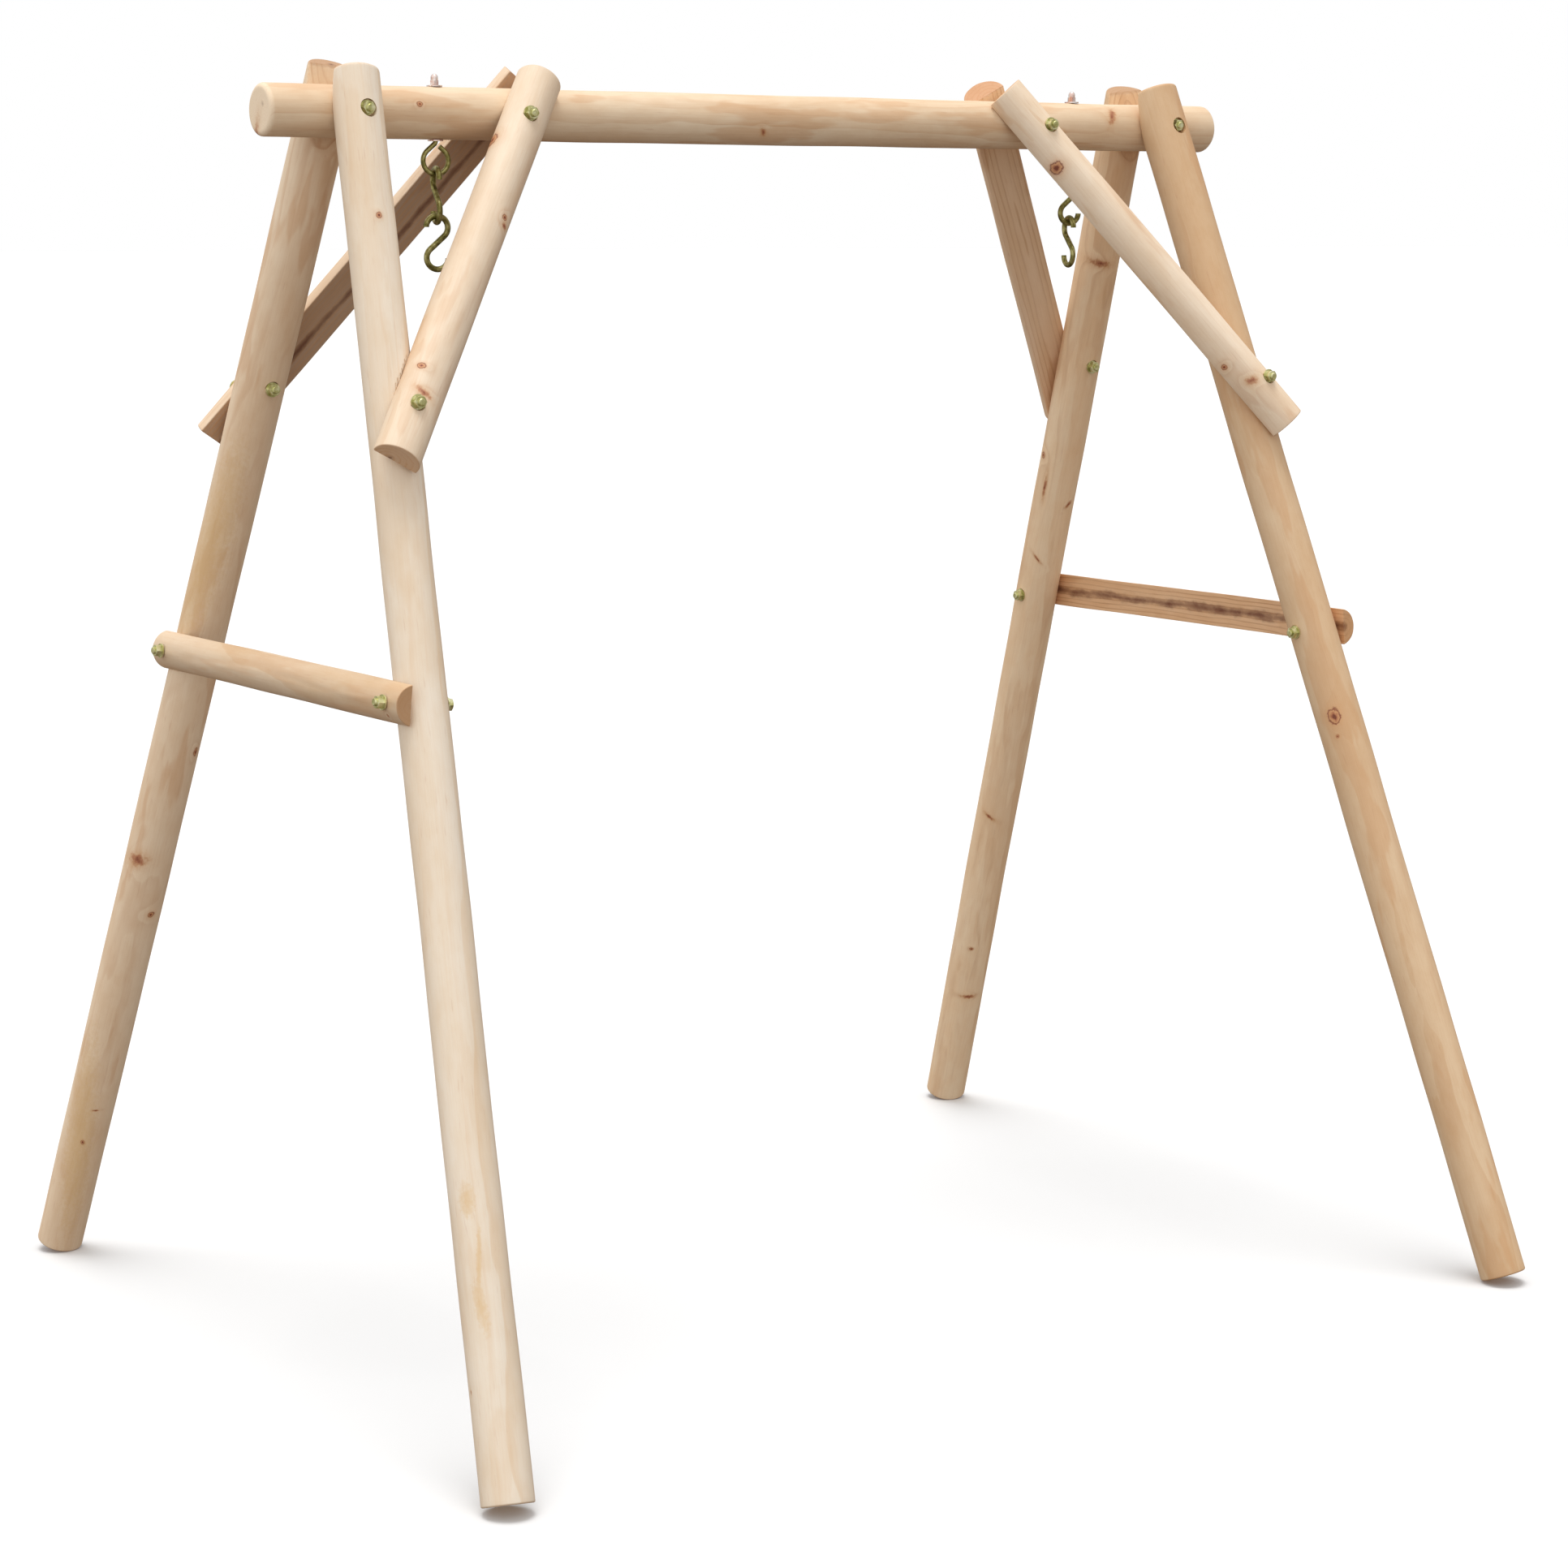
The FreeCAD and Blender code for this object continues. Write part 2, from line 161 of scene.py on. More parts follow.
def leg_log(name, sx, sy, r0, r1, up):
    """The lowest point of the rounded foot rim meets the floor."""
    top = leg_point(sx, sy, BEAM_Z)
    along = unit(top - leg_point(sx, sy, FOOT_Z))
    tilt = math.acos(along[2])
    foot_z = (r0 - LEG_FOOT_ROUND) * math.sin(tilt) + LEG_FOOT_ROUND * (1 - math.cos(tilt))
    foot = leg_point(sx, sy, foot_z)
    log = Log(name, foot, along, -Y, np.linalg.norm(top - foot) + up, (r0, r1),
              (LEG_FOOT_ROUND, LEG_TOP_ROUND), lean=(-sy * LEG_LEAN[0], LEG_LEAN[1]))
    log.plane((0, sy * LEG_FLAT_Y, 0), -sy * Y, lambda p: p[..., 2] > BEAM_Z - LEG_FLAT_DROP)
    axes = brace_axes(sx, sy)
    log.plane(axes[0], axes[3], under(axes, -BRACE_UP, BRACE_DOWN, BRACE_R))
    axes = spreader_axes(sx)
    half = math.sqrt(SPR_R ** 2 - (SPR_R - SPR_T) ** 2)
    log.plane(axes[0], axes[3], under(axes, -SPR_HALF, SPR_HALF, half))
    return log


def half_log(name, axes, s0, s1, r, c):
    """Half log on its flat; c is how far the log's centre lies outside the flat."""
    origin, along, _, out = axes
    inner = (r - c) / 2
    log = Log(name, origin + out * c + along * s0, along, out, s1 - s0, (r, r),
              (SAWN_EDGE, SAWN_EDGE), lean=(inner, 0.0))
    log.plane(origin, -out)
    edge = math.atan2(math.sqrt(r ** 2 - c ** 2), -c - inner)
    log.edges = [edge, 2 * math.pi - edge]
    return log


def all_logs():
    logs = [beam_log()] + [leg_log(name, *values) for name, values in LEGS.items()]
    logs += [half_log(name, brace_axes(*sides), -BRACE_UP, BRACE_DOWN, BRACE_R, BRACE_C)
             for name, sides in BRACES.items()]
    logs += [half_log(name, spreader_axes(sx), -SPR_HALF, SPR_HALF, SPR_R, SPR_T - SPR_R)
             for name, sx in SPREADERS.items()]
    return {log.name: log for log in logs}


# ---- bolt seats: (nut side, head side) for each bolt, and the radius drilled past them ----
def crest_y(z):
    return (BRACE_SEAT + BRACE_C + BRACE_R - (z - BEAM_Z) * math.sin(BRACE_TILT)) / math.cos(BRACE_TILT)


def bolt_seats():
    seats = []
    top_y, low_y = crest_y(BEAM_Z) - SPOT_OUT, crest_y(BRACE_LOW_BOLT_Z) - SPOT_OUT
    for sx in SIDES:
        leg = np.array((sx * LEG_BOLT_X, 0, BEAM_Z + LEG_BOLT_DZ))
        seats.append((leg - Y * LEG_RECESS_Y, leg + Y * LEG_RECESS_Y, LEG_RECESS_R))
        top = np.array((sx * BRACE_TOP_BOLT_X, 0, BEAM_Z))
        seats.append((top - Y * top_y, top + Y * top_y, SPOT_R))
        for sy in SIDES:
            z = BRACE_LOW_BOLT_Z
            axis = unit(leg_point(sx, sy, BEAM_Z) - leg_point(sx, sy, FOOT_Z))
            inner = LEGS["leg_rear_left"][2] / math.sqrt(1 - axis[1] ** 2) - SPOT_IN
            inner_y = sy * (abs(leg_point(sx, sy, z)[1]) - inner)
            x = sx * BRACE_LOW_BOLT_X
            seats.append((np.array((x, sy * low_y, z)), np.array((x, inner_y, z)), SPOT_R))
            origin, _, _, out = spreader_axes(sx)
            c = np.array((origin[0], leg_point(sx, sy, SPR_Z)[1], origin[2]))
            seats.append((c + out * SPR_T, c - out * (SPR_SEAT + SPR_BOLT_IN), SPOT_R))
    return seats


# ---- surfaces ----
def soft_min(a, b, width):
    """The smaller of a and b, with a parabola of that width over the crease."""
    h = np.clip(0.5 + 0.5 * (b - a) / width, 0, 1)
    return b + (a - b) * h - width * h * (1 - h)


def end_rows(at, way, r):
    """Rows of one end, from its middle out: a flat disc that grows to the rim, then the rim's
    quarter circle of radius r. Gives place along the log, inset, share of the radius, end 0-1."""
    disc, turn = np.linspace(0.06, 1, 15)[:-1], np.linspace(0, math.pi / 2, 7)
    ones = np.ones_like(disc)
    return np.array((
        np.concatenate((ones * at, at + way * r * (1 - np.cos(turn)))),
        np.concatenate((ones * r, r * (1 - np.sin(turn)))),
        np.concatenate((disc, np.ones_like(turn))),
        np.concatenate((ones, np.cos(turn))),
    ))


def log_rows(log, step, fine, reach):
    """All rows from one end to the other, closer together over the reach below the top."""
    low = end_rows(0.0, 1, log.rounds[0])
    high = end_rows(log.length, -1, log.rounds[1])[:, ::-1]
    a, b = low[0, -1], high[0, 0]
    knee = b - reach
    side = np.concatenate((np.linspace(a, knee, round((knee - a) / step))[1:],
                           np.linspace(knee, b, round(reach / fine))[1:-1]))
    blank = np.zeros_like(side)
    return np.concatenate((low, np.array((side, blank, blank + 1, blank)), high), axis=1)


def log_columns(log, cols):
    """Angles round the log, crowded at its sawn edges: equal steps of a summed weight."""
    dense = np.linspace(0, 2 * math.pi, 3601)
    extra, spread = EDGE_CROWD
    weight = np.ones_like(dense) + extra * sum(
        np.exp(-((dense - e) / spread) ** 2) for e in log.edges)
    total = np.concatenate(([0], np.cumsum((weight[1:] + weight[:-1]) / 2)))
    return np.interp(np.linspace(0, total[-1], cols, endpoint=False), total, dense)


def log_radius(log, w, a, knots, seed):
    """Radius of the round surface: straight taper, slow waves left by peeling, domes at knots."""
    r = log.radii[0] + (log.radii[1] - log.radii[0]) * w / log.length
    rng = np.random.default_rng(seed)
    for lobes, waves, size in ((1, 1.3, 5e-4), (2, 0.7, 5e-4), (3, 2.7, 3e-4), (5, 4.5, 1.5e-4)):
        p, s = rng.uniform(0, 2 * math.pi, 2)
        r = r - size + size * np.cos(lobes * a + p) * np.cos(2 * math.pi * waves * w + s)
    for at, angle, across, high, _ in knots:
        turn = np.angle(np.exp(1j * (a - math.radians(angle)))) * log.radii[0]
        far = (((w - at) / high) ** 2 + (turn / across) ** 2) * 1e6
        r = r + KNOT_DOME * np.exp(-far / DOME_SPREAD)
    return r


def log_surface(log, knots, seed, cols=128, step=0.008, fine=0.003, reach=0.2):
    """Point(w, a) = origin + along w + front q + rho (front cos a + side sin a), where q is the
    inner line and rho the way from it to the log's circle, or to a planed face if nearer."""
    rows = log_rows(log, step, fine, reach)
    w, a = np.meshgrid(rows[0], log_columns(log, cols), indexing="ij")
    inset, share, end = (np.broadcast_to(row[:, None], w.shape) for row in rows[1:])
    front, over = log.lean
    q = front * (np.clip((w - log.length + over) / over, 0, 1) ** 2 if over else np.ones_like(w))
    r = log_radius(log, w, a, knots, seed)
    rho = np.sqrt(r ** 2 - (q * np.sin(a)) ** 2) - q * np.cos(a)
    centre = log.origin + w[..., None] * log.along + q[..., None] * log.front
    ray = np.cos(a)[..., None] * log.front + np.sin(a)[..., None] * log.side
    sawn = np.zeros_like(w)
    for point, normal, acts in log.planes:
        facing = ray @ normal
        to_face = np.where(facing > 1e-3, ((point - centre) @ normal) / np.maximum(facing, 1e-3), 1.0)
        cut = soft_min(rho, to_face, PLANED_EDGE)
        on = np.ones_like(w) if acts is None else acts(centre + ray * rho[..., None])
        sawn = np.maximum(sawn, on * np.clip((rho - to_face) / SAWN_FADE, 0, 1))
        rho = np.where(on > 0, cut, rho)
    rho = (rho - inset) * share
    return centre + ray * rho[..., None], {"end_grain": end, "sawn": sawn}


def closed_mesh(name, points, marks):
    """Rows of loops joined by quads; both ends close on a pole. marks are values per point."""
    rows, cols = points.shape[:2]
    verts = np.concatenate((points.reshape(-1, 3), [points[0].mean(0), points[-1].mean(0)]))
    i, j = np.meshgrid(np.arange(rows - 1) * cols, np.arange(cols), indexing="ij")
    k = (j + 1) % cols
    quads = np.stack((i + j, i + k, i + cols + k, i + cols + j), -1).reshape(-1, 4)
    ring = np.arange(cols)
    after, last = (ring + 1) % cols, (rows - 1) * cols
    low = np.stack((ring * 0 + rows * cols, after, ring), -1)
    high = np.stack((ring * 0 + rows * cols + 1, last + ring, last + after), -1)
    mesh = bpy.data.meshes.new(name)
    mesh.from_pydata(verts.tolist(), [], quads.tolist() + low.tolist() + high.tolist())
    for label, values in marks.items():
        layer = mesh.attributes.new(label, "FLOAT", "POINT")
        layer.data.foreach_set("value", np.append(values, values[[0, -1], 0]).astype(np.float32))
    return mesh


def turned_mesh(name, start, axis, profile, cols=48):
    """Solid turned about a line: profile is (place along the axis, radius) pairs."""
    u = unit(np.cross(axis, Z if abs(axis[2]) < 0.9 else X))
    a = np.linspace(0, 2 * math.pi, cols, endpoint=False)
    ray = np.cos(a)[:, None] * u + np.sin(a)[:, None] * np.cross(axis, u)
    points = np.array([start + axis * s + ray * r for s, r in profile])
    return closed_mesh(name, points, {})


def smooth(mesh, angle=38):
    mesh.shade_smooth()
    mesh.set_sharp_from_angle(angle=math.radians(angle))


def add_object(name, mesh, finish=None):
    obj = bpy.data.objects.new(name, mesh)
    bpy.context.scene.collection.objects.link(obj)
    if finish:
        mesh.materials.append(finish)
    return obj


# ---- drilling ----
def drill_profile(length, r):
    """Hole between the seats, and the wider spot face or counterbore past each seat."""
    return ((-DRILL, r), (0, r), (0, HOLE_R), (length, HOLE_R), (length, r), (length + DRILL, r))


def drills():
    found = []
    for p, q, r in bolt_seats():
        found.append(turned_mesh("drill", q, unit(p - q), drill_profile(np.linalg.norm(p - q), r)))
    for sx in SIDES:
        low = BEAM_R - EYE_SPOT
        profile = ((-DRILL - low, EYE_SPOT_R), (-low, EYE_SPOT_R), (-low, EYE_HOLE_R),
                   (low, EYE_HOLE_R), (low, EYE_SPOT_R), (low + DRILL, EYE_SPOT_R))
        found.append(turned_mesh("drill", np.array((sx * EYE_X, 0, BEAM_Z)), Z, profile))
    return [add_object("drill", mesh) for mesh in found]


def touches(a, b):
    """True if the boxes of two objects meet."""
    boxes = [np.array([tuple(c) for c in o.bound_box]) for o in (a, b)]
    return bool(np.all(boxes[0].min(0) < boxes[1].max(0)) and np.all(boxes[1].min(0) < boxes[0].max(0)))


def drill(obj, tools):
    """Takes the drills out of a log and keeps the result as its mesh."""
    for tool in tools:
        if touches(obj, tool):
            cut = obj.modifiers.new("drill", "BOOLEAN")
            cut.operation, cut.solver, cut.object = "DIFFERENCE", "EXACT", tool
    graph = bpy.context.evaluated_depsgraph_get()
    mesh = bpy.data.meshes.new_from_object(obj.evaluated_get(graph))
    obj.modifiers.clear()
    obj.data = mesh
    smooth(mesh)


# ---- materials ----
def tone(code):
    """sRGB hex to linear colour."""
    s = np.array([int(code[k:k + 2], 16) for k in (1, 3, 5)]) / 255
    return (*np.where(s <= 0.04045, s / 12.92, ((s + 0.055) / 1.055) ** 2.4), 1.0)


def add(tree, kind, inputs=None, out=0, stops=(), **settings):
    """Adds a node with its settings and links, and gives one of its outputs. inputs are values
    or sockets by name or place; stops are the (place, colour or grey) points of a ramp."""
    node = tree.nodes.new("ShaderNode" + kind)
    for key, value in settings.items():
        setattr(node, key, value)
    for key, value in (inputs or {}).items():
        if isinstance(value, bpy.types.NodeSocket):
            tree.links.new(value, node.inputs[key])
        else:
            node.inputs[key].default_value = value
    for k, (place, colour) in enumerate(stops):
        points = node.color_ramp.elements
        point = points[k] if k < len(points) else points.new(place)
        point.position = place
        point.color = colour if isinstance(colour, tuple) else (colour, colour, colour, 1)
    return node.outputs[out]


def material(name):
    made = bpy.data.materials.new(name)
    made.use_nodes = True
    return made, made.node_tree, made.node_tree.nodes["Principled BSDF"]


# Pine: soft and matt, peeled and sanded but not oiled, so its gloss is low and even.
# Its tones: light and warm early wood, late wood lines, amber and resin stains, sawn faces and
# end grain; core, knot, halo and rim of a knot; streak, a branch cut along; pith, its dark heart.
# The sawn tone is partly the sawn wood's own browner tone and partly painted shade, for a flat
# that faces down towards the beam.
PINE = {
    "light": "#EBD0AF", "warm": "#DDB78F", "late": "#CB9A6C", "amber": "#D09A66",
    "core": "#7A3B22", "knot": "#B06A45", "rim": "#8E4A2C", "halo": "#D59D6B",
    "streak": "#AC6236", "pith": "#6B3B20", "end": "#C99462", "sawn": "#A27B57",
    "resin": "#DDB476",
}
# Noise patterns in the wood: size across the log in metres, times longer along it, detail,
# roughness. sway bends the rings, fade and blotch change the tone from place to place.
PATTERNS = {
    "sway": (0.080, 5.0, 3.0, 0.5), "ragged": (0.006, 1.2, 3.0, 0.6),
    "fibre": (0.0024, 40.0, 2.0, 0.6), "fleck": (0.0038, 10.0, 1.0, 0.5),
    "blotch": (0.090, 3.0, 3.0, 0.55), "fade": (0.075, 2.5, 2.0, 0.5),
    "stain": (0.060, 5.0, 3.0, 0.6), "mottle": (0.020, 2.0, 4.0, 0.6),
}
SWAY = 0.024                  # how far the rings wander, metres
RING = 0.0085                 # a band of growth rings that reads as one, metres
MARK_DEPTH = 0.03             # how deep a mark reaches into the log, metres
FIBRE_RELIEF = 0.0005         # height of the raised grain, metres
FILM_SCALE = 110.0            # drifts of the zinc's film are about 9 mm across
GRIT_SCALE = 900.0            # its pits about 1 mm, coarser than real ones so that they show
GRIT_RELIEF = 0.0002          # and that deep, metres


def nearest_mark(tree, own, log, marks):
    """How far a point is from the nearest mark, where 1 is the mark's edge. A mark is
    (height m, angle from front, half width mm, half height mm, slant), on the log's surface."""
    nearest = None
    for at, angle, across, high, slant in marks:
        t, r = math.radians(angle), log.radii[0]
        near = add(tree, "Mapping", {
            "Vector": own, "Location": (r * math.cos(t), r * math.sin(t), at),
            "Rotation": (math.radians(slant), 0, t),
            "Scale": (MARK_DEPTH, across / 1000, high / 1000)}, vector_type="TEXTURE")
        far = add(tree, "VectorMath", {0: near}, "Value", operation="LENGTH")
        nearest = far if nearest is None else add(tree, "Math", {0: nearest, 1: far},
                                                  operation="MINIMUM")
    return nearest


def pine(log, look):
    """Peeled pine log. Growth rings are cylinders round the pith, so the nearly round face cuts
    them in long wavy contours, and the ends show them as circles. Each ring has its own tone
    and ends in a thin line of darker late wood. The grain swerves round knots."""
    tones = {key: tone(code) for key, code in {**PINE, **look.get("tones", {})}.items()}
    made, tree, shader = material("pine_" + log.name)
    place = add(tree, "TexCoord", out="Object")
    turn = Matrix(np.column_stack((log.front, log.side, log.along)).tolist()).to_euler()
    own = add(tree, "Mapping", {"Vector": place, "Location": tuple(log.origin), "Rotation": turn},
              vector_type="TEXTURE")
    noise = {}
    for k, (name, (size, stretch, detail, rough)) in enumerate(PATTERNS.items()):
        at = add(tree, "Mapping", {"Vector": own, "Location": (2 * k, look["seed"], 0),
                                   "Scale": (1, 1, 1 / stretch)})
        noise[name] = add(tree, "TexNoise", {"Vector": at, "Scale": 1 / size, "Detail": detail,
                                             "Roughness": rough},
                          "Color" if name == "sway" else "Fac")

    pith_x, pith_y, tilt_x, tilt_y = look["pith"]
    swayed = add(tree, "VectorMath", {0: noise["sway"], 1: (SWAY, SWAY, 0), 2: own},
                 operation="MULTIPLY_ADD")
    swayed = add(tree, "Mapping", {
        "Vector": swayed, "Location": (-pith_x - SWAY / 2, -pith_y - SWAY / 2, 0),
        "Rotation": (tilt_x, tilt_y, 0)})
    flat = add(tree, "VectorMath", {0: swayed, 1: (1, 1, 0)}, operation="MULTIPLY")
    from_pith = add(tree, "VectorMath", {0: flat}, "Value", operation="LENGTH")
    marks = {}
    # per kind of mark: how far the rings swell round it, how fast that fades, how ragged it is
    for kind, swell, fast, rags in (("knots", 0.007, -0.14, 0.9), ("streaks", 0.006, -0.3, 1.3),
                                    ("stains", 0.0, -1.0, 2.0)):
        if look.get(kind):
            far = nearest_mark(tree, own, log, look[kind])
            square = add(tree, "Math", {0: far, 1: 2.0}, operation="POWER")
            fall = add(tree, "Math", {0: square, 1: fast}, operation="MULTIPLY")
            fall = add(tree, "Math", {0: fall}, operation="EXPONENT")
            from_pith = add(tree, "Math", {0: fall, 1: swell, 2: from_pith},
                            operation="MULTIPLY_ADD")
            torn = add(tree, "Math", {0: noise["ragged"], 1: rags, 2: -rags / 2},
                       operation="MULTIPLY_ADD")
            far = add(tree, "Math", {0: far, 1: torn}, operation="ADD")
            marks[kind] = add(tree, "Math", {0: far, 1: 0.4}, operation="MULTIPLY")

    ring = add(tree, "Math", {0: from_pith, 1: RING}, operation="DIVIDE")
    within = add(tree, "Math", {0: ring}, operation="FRACT")
    number = add(tree, "Math", {0: ring}, operation="FLOOR")
    own_tone = add(tree, "TexWhiteNoise", {"W": number}, "Value", noise_dimensions="1D")
    late = add(tree, "ValToRGB", {0: within},
               stops=((0.0, 0.0), (0.60, 0.08), (0.90, 1.0), (0.96, 0.7), (1.0, 0.0)))
    end = add(tree, "Attribute", out="Fac", attribute_name="end_grain")
    sawn = add(tree, "Attribute", out="Fac", attribute_name="sawn")

    blotch = add(tree, "ValToRGB", {0: noise["blotch"]}, stops=((0.38, 0.0), (0.62, 0.5)))
    mottle = add(tree, "ValToRGB", {0: noise["mottle"]}, stops=((0.42, 0.0), (0.62, 0.22)))
    bands = add(tree, "Math", {0: own_tone, 1: look.get("bands", 0.42), 2: blotch},
                operation="MULTIPLY_ADD")
    bands = add(tree, "Math", {0: bands, 1: mottle}, operation="ADD")
    stain = add(tree, "ValToRGB", {0: noise["stain"]},
                stops=((0.56, 0.0), (0.60, look.get("stain", 0.35))))
    grain = look.get("grain", 0.34)
    fade = add(tree, "ValToRGB", {0: noise["fade"]}, stops=((0.40, 0.06), (0.60, grain)))
    fade = add(tree, "Math", {0: end, 1: 0.22, 2: fade}, operation="MULTIPLY_ADD")
    fade = add(tree, "Math", {0: sawn, 1: 0.25, 2: fade}, operation="MULTIPLY_ADD")
    lines = add(tree, "Math", {0: late, 1: fade}, operation="MULTIPLY")
    ends = add(tree, "Math", {0: end, 1: look.get("end", 0.5)}, operation="MULTIPLY")
    # painted shade mixed with the sawn wood's own browner tone, laid on the sawn flats
    sawn_tone_and_shade = add(tree, "Math", {0: sawn, 1: look.get("sawn", 0.0)}, operation="MULTIPLY")
    heart = look.get("heart", 0.003)
    core = add(tree, "Math", {0: noise["mottle"], 1: 3 * heart, 2: from_pith},
               operation="MULTIPLY_ADD")
    core = add(tree, "ValToRGB", {0: core},
               stops=((heart * 1.2, 1.0), (heart * 2.2, 0.6), (heart * 3.0, 0.0)))
    fibre = add(tree, "ValToRGB", {0: noise["fibre"]}, stops=((0.45, 0.0), (0.75, 0.14)))
    fleck = add(tree, "ValToRGB", {0: noise["fleck"]}, stops=((0.68, 0.0), (0.78, 0.14)))
    layers = [(bands, tones["warm"]), (stain, tones["amber"]), (sawn_tone_and_shade, tones["sawn"]),
              (lines, tones["late"]), (ends, tones["end"]), (core, tones["pith"]),
              (fibre, tones["late"]), (fleck, tones["knot"])]

    height = add(tree, "Math", {0: late, 1: 0.3, 2: noise["fibre"]}, operation="MULTIPLY_ADD")
    if "stains" in marks:
        soft = add(tree, "ValToRGB", {0: marks["stains"]},
                   stops=((0.1, 0.55), (0.42, 0.3), (0.62, 0.0)))
        layers.append((soft, tones["resin"]))
    if "streaks" in marks:
        share = add(tree, "ValToRGB", {0: marks["streaks"]}, stops=(
            (0.0, 1.0), (0.26, 0.75), (0.42, 0.35), (0.60, 0.12), (0.9, 0.0)))
        inside = add(tree, "ValToRGB", {0: marks["streaks"]}, stops=(
            (0.04, tones["rim"]), (0.18, tones["streak"]), (0.4, tones["amber"])))
        layers.append((share, inside))
    if "knots" in marks:
        share = add(tree, "ValToRGB", {0: marks["knots"]}, stops=(
            (0.0, 1.0), (0.38, 0.9), (0.46, 0.5), (0.60, 0.2), (1.0, 0.0)))
        inside = add(tree, "ValToRGB", {0: marks["knots"]}, stops=(
            (0.0, tones["core"]), (0.10, tones["core"]), (0.16, tones["knot"]),
            (0.30, tones["halo"]), (0.36, tones["rim"]), (0.42, tones["rim"]),
            (0.47, tones["halo"])))
        layers.append((share, inside))
        edge = add(tree, "ValToRGB", {0: marks["knots"]},
                   stops=((0.33, 0.0), (0.39, 1.0), (0.46, 0.0)))
        height = add(tree, "Math", {0: edge, 1: -1.2, 2: height}, operation="MULTIPLY_ADD")

    colour = tones["light"]
    for share, over in layers:
        colour = add(tree, "Mix", {0: share, 6: colour, 7: over}, 2, data_type="RGBA")
    bump = add(tree, "Bump", {"Strength": 0.4, "Distance": FIBRE_RELIEF, "Height": height})
    rough = add(tree, "Math", {0: noise["fibre"], 1: 0.2, 2: 0.48}, operation="MULTIPLY_ADD")
    tree.links.new(colour, shader.inputs["Base Color"])
    tree.links.new(rough, shader.inputs["Roughness"])
    tree.links.new(bump, shader.inputs["Normal"])
    return made


def zinc(name, dark, mid, bright, rough, metallic):
    """Zinc-plated steel: a thin chromate film tints the zinc, so its colour drifts over each
    piece, and the plating is finely pitted, so it glints softly."""
    made, tree, shader = material(name)
    place = add(tree, "TexCoord", out="Object")
    film = add(tree, "TexNoise", {"Vector": place, "Scale": FILM_SCALE, "Detail": 3.0})
    colour = add(tree, "ValToRGB", {0: film},
                 stops=((0.34, tone(dark)), (0.5, tone(mid)), (0.66, tone(bright))))
    grit = add(tree, "TexNoise", {"Vector": place, "Scale": GRIT_SCALE, "Detail": 2.0})
    worn = add(tree, "Math", {0: grit, 1: 0.2, 2: rough}, operation="MULTIPLY_ADD")
    bump = add(tree, "Bump", {"Strength": 0.2, "Distance": GRIT_RELIEF, "Height": grit})
    tree.links.new(colour, shader.inputs["Base Color"])
    tree.links.new(worn, shader.inputs["Roughness"])
    tree.links.new(bump, shader.inputs["Normal"])
    shader.inputs["Metallic"].default_value = metallic
    return made
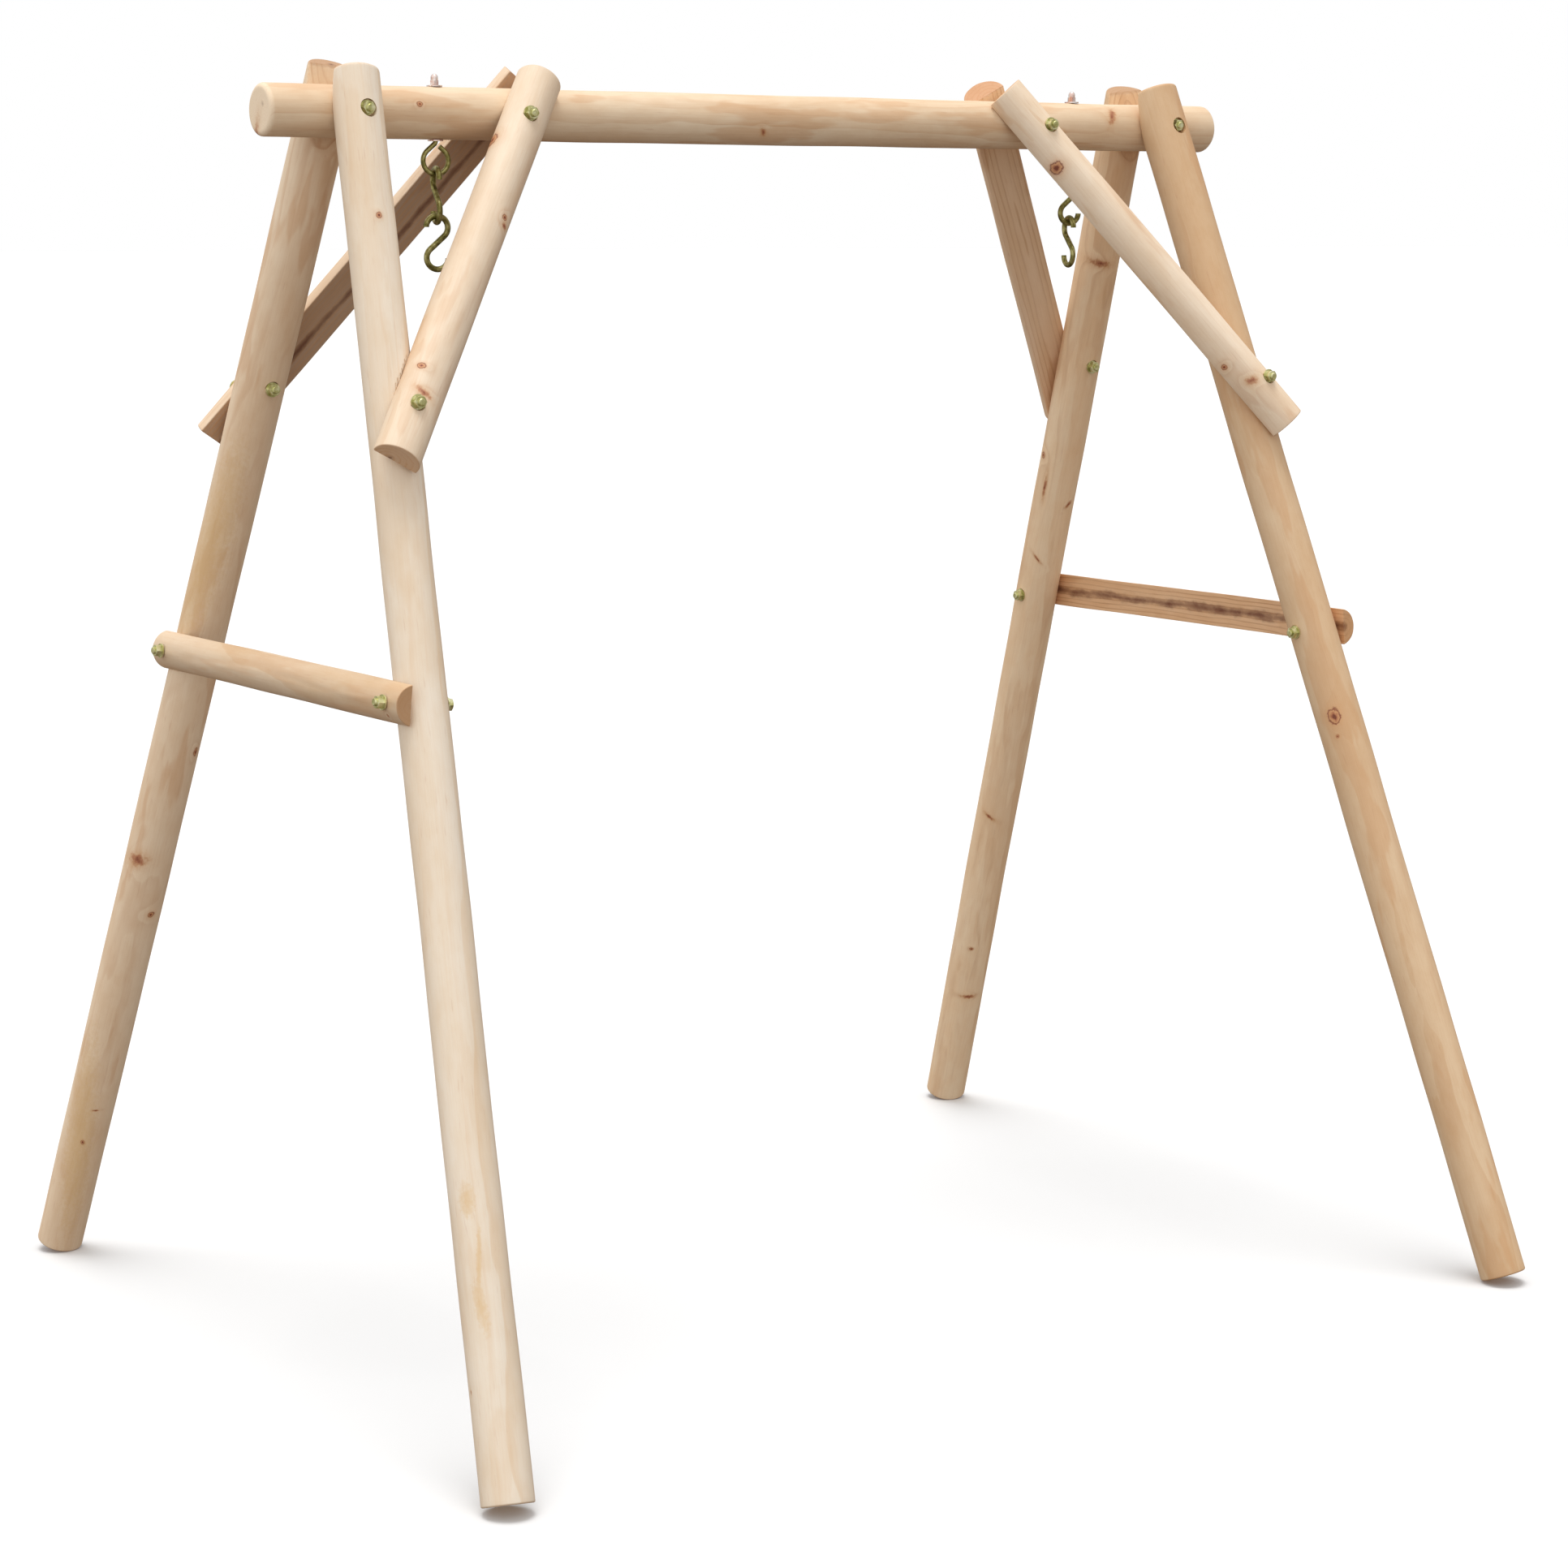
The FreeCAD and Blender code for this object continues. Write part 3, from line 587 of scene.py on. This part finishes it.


# ---- how each log looks ----
# pith: place of the ring centre across the log, and its tilt; heart: radius of the dark pith.
# knots, streaks and stains as nearest_mark takes them: knots are branches cut across, streaks
# are branches cut along, stains are patches of resin. tones replace those of PINE; grain, bands,
# stain, end and sawn say how strongly late wood, rings, stains, end grain and sawn faces show.
# The sawn tone on a sawn flat is partly the wood's own tone and partly painted shade.
PALE = {"light": "#F1E4D2", "warm": "#E8D3B8", "late": "#DDB990", "amber": "#E0C09A",
        "end": "#D3A97C"}
LOOKS = {
    "beam": {
        "seed": 1, "pith": (0.012, -0.010, 0.003, -0.004), "grain": 0.3,
        "tones": {"light": "#F1DBBD", "warm": "#E3C4A0", "end": "#FBE4C6"}, "end": 1.0,
        "knots": ((0.26, -17, 4, 5, 0),),
        "streaks": ((0.92, 30, 9, 5, 30), (1.68, -27, 20, 8, -25), (0.004, 112, 8, 8, 0)),
    },
    "leg_front_left": {
        "seed": 2, "pith": (0.009, 0.006, 0.006, 0.004), "tones": PALE, "stain": 0.2,
        "grain": 0.3, "knots": ((1.975, -9, 4.5, 5, 0),),
        "streaks": ((0.17, -96, 2, 6, 0),),
        "stains": ((0.45, -48, 9, 20, 0), (0.29, -42, 7, 30, 8), (0.36, -36, 3, 40, -6)),
    },
    "leg_rear_left": {
        "seed": 3, "pith": (-0.008, 0.008, -0.005, 0.003), "stain": 0.35, "bands": 0.25,
        "tones": {"light": "#F5DFC2", "warm": "#E6C6A2", "end": "#AE8058"}, "end": 0.8,
        "knots": ((0.72, 9, 6, 5, 20), (1.04, 31, 5, 8, 0), (0.24, -28, 3, 4, 0)),
        "streaks": ((0.82, -55, 20, 13, 25), (0.31, -14, 7, 2, 10)),
        "stains": ((1.40, -62, 26, 150, -4), (0.25, -40, 20, 160, 6)),
    },
    "leg_front_right": {
        "seed": 4, "pith": (0.006, -0.009, 0.004, 0.006), "stain": 0.35,
        "tones": {"light": "#E4C6A1", "warm": "#D6AF84"},
        "knots": ((1.046, -51, 11, 14, 0), (1.01, -57, 3, 3, 0)),
    },
    "leg_rear_right": {
        "seed": 5, "pith": (0.004, 0.010, -0.004, -0.006), "stain": 0.22, "bands": 0.3,
        "tones": {"light": "#FBE2C0", "warm": "#F0CBA1", "end": "#AE8058"}, "end": 0.8,
        "knots": ((0.39, -42, 4, 3, 20), (1.51, -103, 6, 6, 0)),
        "streaks": ((1.916, -35, 24, 8, -8), (1.42, 5, 12, 5, 45), (0.71, -61, 15, 4, -25),
                    (0.27, -25, 17, 5, 5), (1.45, -75, 4, 26, 0), (1.30, -59, 14, 3, -40)),
    },
    "brace_front_left": {
        "seed": 6, "pith": (0.002, 0.0, 0.01, 0.005), "stain": 0.2, "bands": 0.3,
        "tones": {"light": "#ECD8BF", "warm": "#E1C5A4"},
        "knots": ((0.155, 85, 13, 11, 0), (0.297, -29, 5, 5, 0), (0.62, 36, 7, 5, 0)),
        "streaks": ((0.665, 9, 16, 7, -20), (0.31, -38, 8, 6, 0)),
    },
    "brace_front_right": {
        "seed": 7, "pith": (0.002, 0.004, -0.01, 0.004), "stain": 0.25,
        "tones": {"light": "#F6E2C9", "warm": "#EACDAB"},
        "knots": ((0.158, 66, 12, 11, 0), (0.62, 72, 5, 5, 0)),
        "streaks": ((0.67, 38, 12, 8, -30),),
    },
    "brace_rear_left": {
        # its sawn flat faces down towards the beam; the darker sawn tone there is partly its own tone,
        # partly painted shade
        "seed": 8, "pith": (-0.006, 0.004, 0.008, 0.006), "heart": 0.005, "sawn": 0.6,
        "tones": {"light": "#F2DCC2", "warm": "#E6C9A8", "sawn": "#93694A", "end": "#B98A62"},
    },
    "brace_rear_right": {
        "seed": 9, "pith": (-0.014, 0.0, 0.006, 0.0),
        "tones": {"light": "#F8DABA", "warm": "#EECBA5", "end": "#C58A5A"}, "end": 0.8,
    },
    "spreader_left": {
        "seed": 10, "pith": (0.0, 0.0, 0.0, 0.006), "stain": 0.2,
        "tones": {"light": "#E0C8AB", "warm": "#D5B58F", "end": "#B98A5E"},
        "knots": ((0.037, -38, 3, 3, 0),), "end": 0.8,
    },
    "spreader_right": {
        "seed": 11, "pith": (0.007, 0.0, 0.0, 0.0), "heart": 0.007,
        "tones": {"light": "#F6CBA0", "warm": "#EAB98A", "late": "#A56B3C", "pith": "#6F381C"},
    },
}


def build_wood():
    tools = drills()
    for name, log in all_logs().items():
        look = LOOKS[name]
        points, marks = log_surface(log, look.get("knots", ()), look["seed"])
        obj = add_object(name + "_wood", closed_mesh(name, points, marks), pine(log, look))
        drill(obj, tools)
        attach(obj, "stand")
        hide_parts(name)
    for tool in tools:
        bpy.data.objects.remove(tool)


def finish_metal():
    """Hooks and eyes wear a darker olive film than the bolts and nuts; the dome nuts and their
    washers are clear plated, with a faint copper blush."""
    nuts = zinc("yellow_zinc_fasteners", "#B0AC6C", "#CFCC92", "#EBE8BE", 0.28, 0.8)
    hooks = zinc("olive_zinc_hooks", "#6F6A38", "#969055", "#B9B27A", 0.28, 0.9)
    clear = zinc("clear_zinc_dome_nuts", "#DDB2A6", "#F0D8CE", "#FFF6F2", 0.14, 1.0)
    for name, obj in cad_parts.items():
        if not obj.hide_render:
            hanging = name.startswith(("eye_bolt", "hook"))
            washers = name.startswith("eye_washers") or name == "acorn_nuts"
            obj.data.materials.clear()
            obj.data.materials.append(hooks if hanging else clear if washers else nuts)


# ---- stage ----
def build_stage():
    scene = bpy.context.scene
    scene.view_settings.view_transform = "Standard"
    half = FLOOR_HALF
    mesh = bpy.data.meshes.new("floor")
    mesh.from_pydata([(-half, -half, 0), (half, -half, 0), (half, half, 0), (-half, half, 0)],
                     [], [(0, 1, 2, 3)])
    # White emulsion paint rolled on a flat floor: no gloss, and a tone that drifts very little.
    made, tree, shader = material("matt_floor")
    place = add(tree, "TexCoord", out="Object")
    cloud = add(tree, "TexNoise", {"Vector": place, "Scale": 0.7})
    paint = add(tree, "ValToRGB", {0: cloud},
                stops=((0.3, FLOOR_WHITE - 0.005), (0.7, FLOOR_WHITE + 0.005)))
    tree.links.new(paint, shader.inputs["Base Color"])
    shader.inputs["Roughness"].default_value = 1.0
    shader.inputs["Specular IOR Level"].default_value = 0.0
    floor = add_object("floor", mesh, made)
    floor.visible_diffuse = floor.visible_glossy = False

    world = bpy.data.worlds.new("studio")
    scene.world = world
    world.use_nodes = True
    tree = world.node_tree
    to_light = tuple(unit(np.array(TO_LIGHT)))
    way = add(tree, "TexCoord", out="Generated")
    facing = add(tree, "VectorMath", {0: way, 1: to_light}, "Value", operation="DOT_PRODUCT")
    facing = add(tree, "MapRange", {0: facing, 1: -1.0, 2: 1.0})
    dome = add(tree, "ValToRGB", {0: facing}, stops=(
        (0.0, (0.17, 0.12, 0.09, 1)), (0.36, (0.32, 0.28, 0.25, 1)),
        (0.56, (0.68, 0.67, 0.66, 1)), (0.80, 1.0), (1.0, 1.0)))
    seen = add(tree, "LightPath", out="Is Camera Ray")
    sky = add(tree, "Mix", {0: seen, 6: dome, 7: (1.0, 1.0, 1.0, 1.0)}, 2, data_type="RGBA")
    strength = add(tree, "Mix", {0: seen, 2: DOME_POWER, 3: 1.0})
    tree.links.new(sky, tree.nodes["Background"].inputs["Color"])
    tree.links.new(strength, tree.nodes["Background"].inputs["Strength"])

    data = bpy.data.lights.new("overhead_softbox", "SUN")
    data.energy, data.angle = OVERHEAD_POWER, OVERHEAD_SPREAD
    lamp = add_object("overhead_softbox", data)
    lamp.rotation_euler = (0, OVERHEAD_LEAN, 0)


def build_camera():
    """Long lens from the front left, a little below the beam; the shift keeps uprights upright."""
    place, forward = (-3.423, -4.980, 1.841), unit(np.array((0.5432, 0.8104, -0.2196)))
    side = unit(np.cross(forward, Z))
    turn = np.column_stack((side, np.cross(side, forward), -forward))
    data = bpy.data.cameras.new("camera")
    data.sensor_width, data.lens = 36.0, 79.16
    data.shift_x, data.shift_y = 0.034, 0.1426
    camera = add_object("camera", data)
    camera.matrix_world = Matrix.Translation(place) @ Matrix(turn.tolist()).to_4x4()
    bpy.context.scene.camera = camera


build_camera()
build_wood()
finish_metal()
build_stage()
